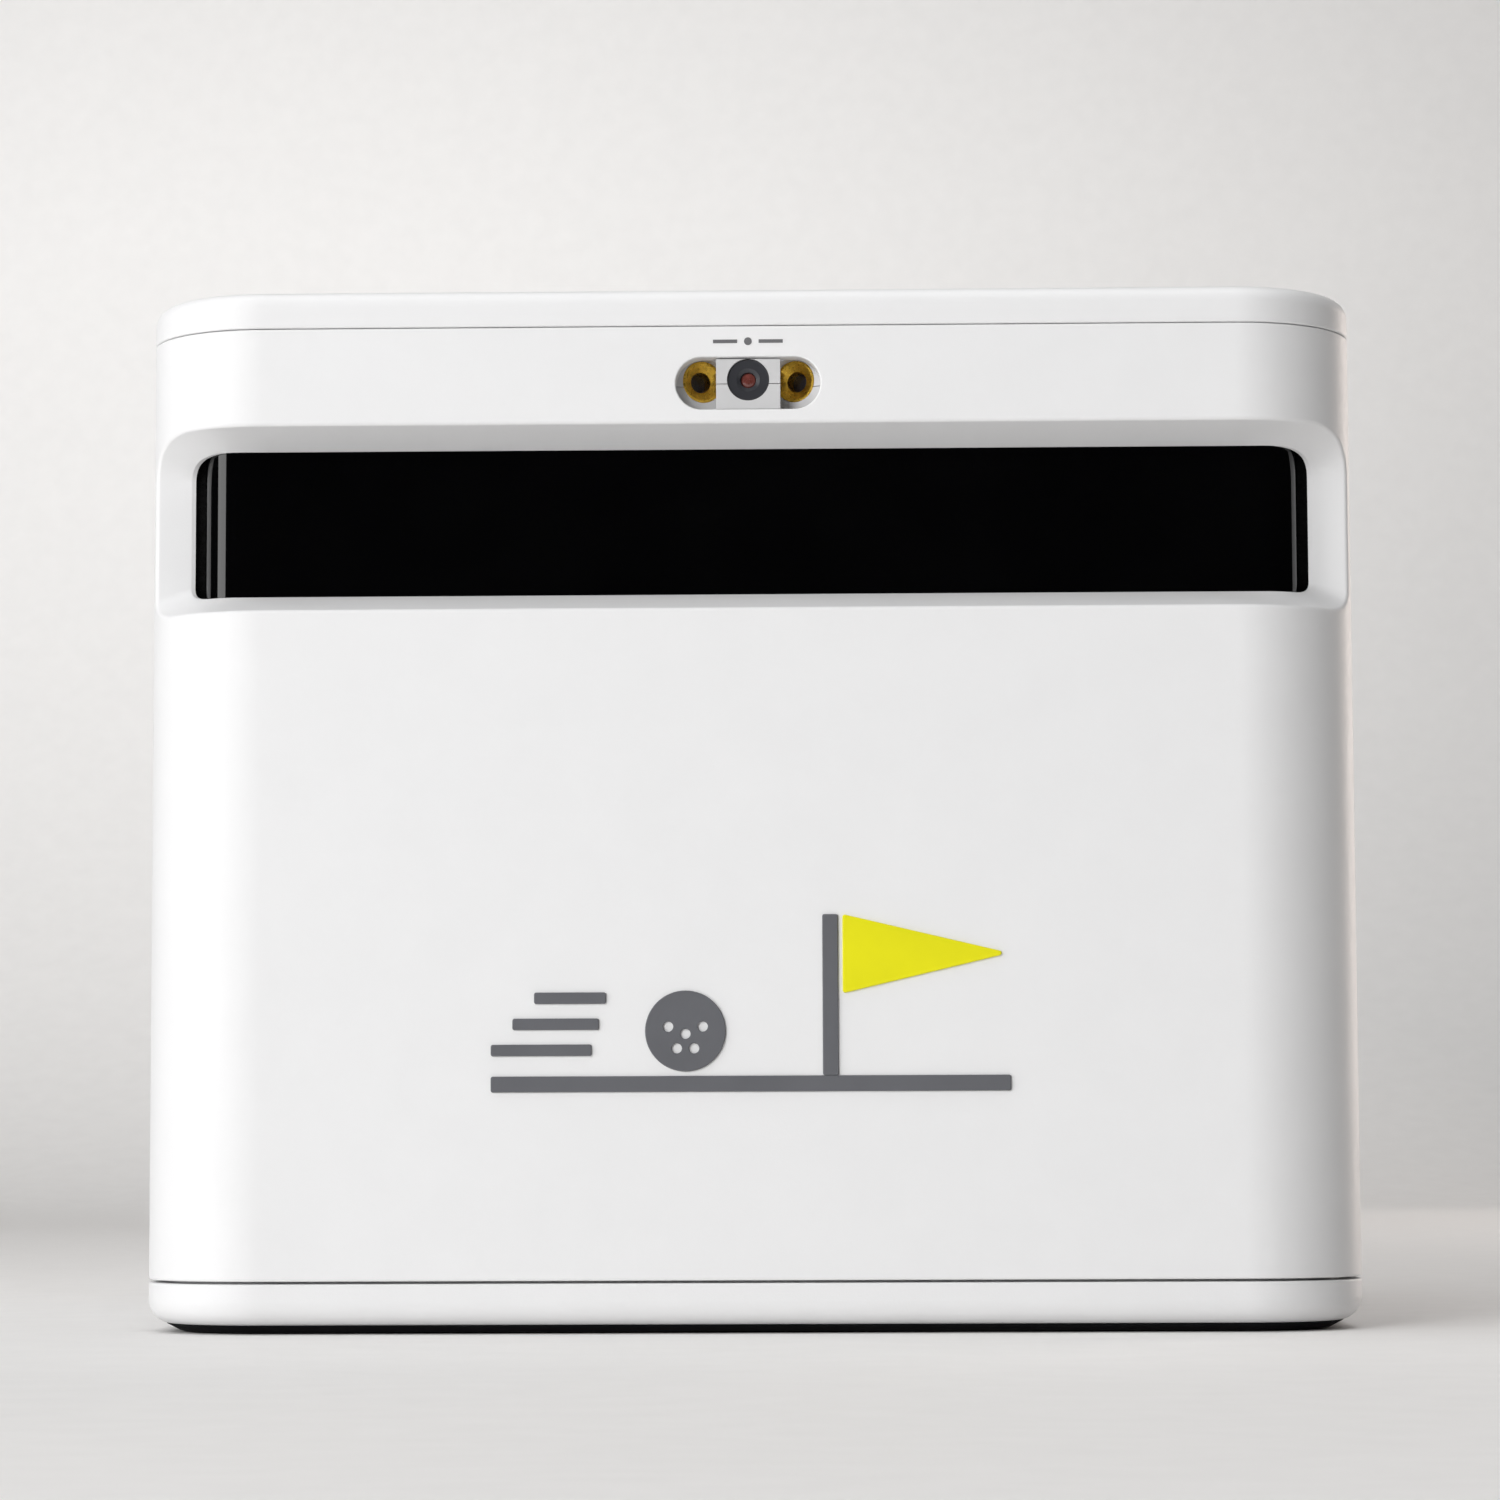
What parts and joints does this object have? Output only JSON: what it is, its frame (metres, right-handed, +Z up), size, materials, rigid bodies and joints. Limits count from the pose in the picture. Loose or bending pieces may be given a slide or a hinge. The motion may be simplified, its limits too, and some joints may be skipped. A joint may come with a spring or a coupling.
{
  "type": "launch monitor",
  "caption": "Box-shaped golf launch monitor: white housing with a smoked wrap-round camera window, a laser slot, rear controls and levelling feet at the back.",
  "frame": {"origin": "on the floor under the middle of the body", "axes": "+Z up, -Y towards the front with its window, +X to the right as seen from the front"},
  "size_m": [0.1714, 0.1654, 0.146],
  "materials": {
    "shell_white": "fine spark texture",
    "base_black": "matte",
    "pad_rubber": "matte",
    "window_black": "polished",
    "seal_foam": "matte",
    "frame_black": "matte",
    "holder_grey": "satin",
    "barrel_brass": "turned",
    "lens_clear": "polished",
    "sensor_charcoal": "satin",
    "sensor_red": "polished",
    "screw_steel": "plated",
    "emblem_grey": "satin",
    "emblem_yellow": "satin",
    "print_grey": "printed",
    "panel_dark": "fine texture",
    "button_aluminium": "spun",
    "light_guide": "translucent",
    "switch_grey": "matte",
    "board_green": "solder mask",
    "board_white": "solder mask",
    "board_blue": "solder mask",
    "chip_black": "matte",
    "led_clear": "moulded",
    "wheel_dark": "black oxide, knurled",
    "bracket_grey": "matte",
    "chassis_aluminium": "machined",
    "barrel_black": "anodised black",
    "cell_wrap": "shrink wrapped cells",
    "flex_amber": "film"
  },
  "bodies": {
    "case": {"main_housing": "shell_white", "top_lid": "shell_white", "bottom_tray": "shell_white", "base_plate": "base_black", "rubber_pads": "pad_rubber", "window": "window_black", "window_gasket": "seal_foam", "window_clamp": "frame_black", "laser_holder_upper": "holder_grey", "laser_holder_lower": "holder_grey", "laser_barrel_left": "barrel_brass", "laser_barrel_right": "barrel_brass", "laser_lens_left": "lens_clear", "laser_lens_right": "lens_clear", "sensor_bezel": "sensor_charcoal", "sensor_filter": "sensor_red", "holder_screws": "screw_steel", "emblem_grey": "emblem_grey", "emblem_yellow": "emblem_yellow", "slot_mark": "print_grey", "io_panel": "panel_dark", "power_ring": "light_guide", "status_lights": "light_guide", "usb_receptacle": "screw_steel", "usb_tongue": "frame_black", "io_board": "board_green", "power_switch": "switch_grey", "reset_switch": "switch_grey", "panel_screws": "screw_steel", "level_yokes": "bracket_grey", "optical_chassis": "chassis_aluminium", "chassis_posts": "chassis_aluminium", "chassis_screws": "screw_steel", "camera_board_left": "board_green", "camera_board_right": "board_green", "camera_barrel_left": "barrel_black", "camera_barrel_right": "barrel_black", "camera_lens_left": "lens_clear", "camera_lens_right": "lens_clear", "strobe_board": "board_white", "strobe_leds": "led_clear", "main_board": "board_green", "main_chips": "chip_black", "heat_sink": "chassis_aluminium", "wireless_board": "board_blue", "board_standoffs": "barrel_brass", "battery_pack": "cell_wrap", "battery_bracket": "bracket_grey", "ribbon_cables": "flex_amber", "lid_screws": "screw_steel", "tray_screws": "screw_steel"},
    "power_key": {"power_button": "button_aluminium"},
    "reset_key": {"reset_button": "switch_grey"},
    "wheel_left": {"level_wheel_left": "wheel_dark"},
    "wheel_right": {"level_wheel_right": "wheel_dark"},
    "foot_left": {"level_stem_left": "screw_steel", "level_pad_left": "pad_rubber"},
    "foot_right": {"level_stem_right": "screw_steel", "level_pad_right": "pad_rubber"}
  },
  "joints": [
    {"name": "power_press", "type": "slide", "parent": "case", "child": "power_key", "axis": [0, -1, 0], "range_m": [0, 0.0008], "stiffness_N_per_m": 1200},
    {"name": "reset_press", "type": "slide", "parent": "case", "child": "reset_key", "axis": [0, -1, 0], "range_m": [0, 0.0008], "stiffness_N_per_m": 900},
    {"name": "wheel_left_turn", "type": "hinge", "parent": "case", "child": "wheel_left", "pos_m": [-0.056, 0.0701, 0.014], "axis": [0, 0, 1], "range_deg": [0, 1080]},
    {"name": "foot_left_lower", "type": "slide", "parent": "case", "child": "foot_left", "axis": [0, 0, -1], "range_m": [0, 0.00601]},
    {"name": "wheel_right_turn", "type": "hinge", "parent": "case", "child": "wheel_right", "pos_m": [0.056, 0.0701, 0.014], "axis": [0, 0, 1], "range_deg": [0, 1080]},
    {"name": "foot_right_lower", "type": "slide", "parent": "case", "child": "foot_right", "axis": [0, 0, -1], "range_m": [0, 0.00601]}
  ],
  "couplings": [
    {"joint": "foot_left_lower", "follows": "wheel_left_turn", "m_per_rad": 0.00031831},
    {"joint": "foot_right_lower", "follows": "wheel_right_turn", "m_per_rad": 0.00031831}
  ]
}
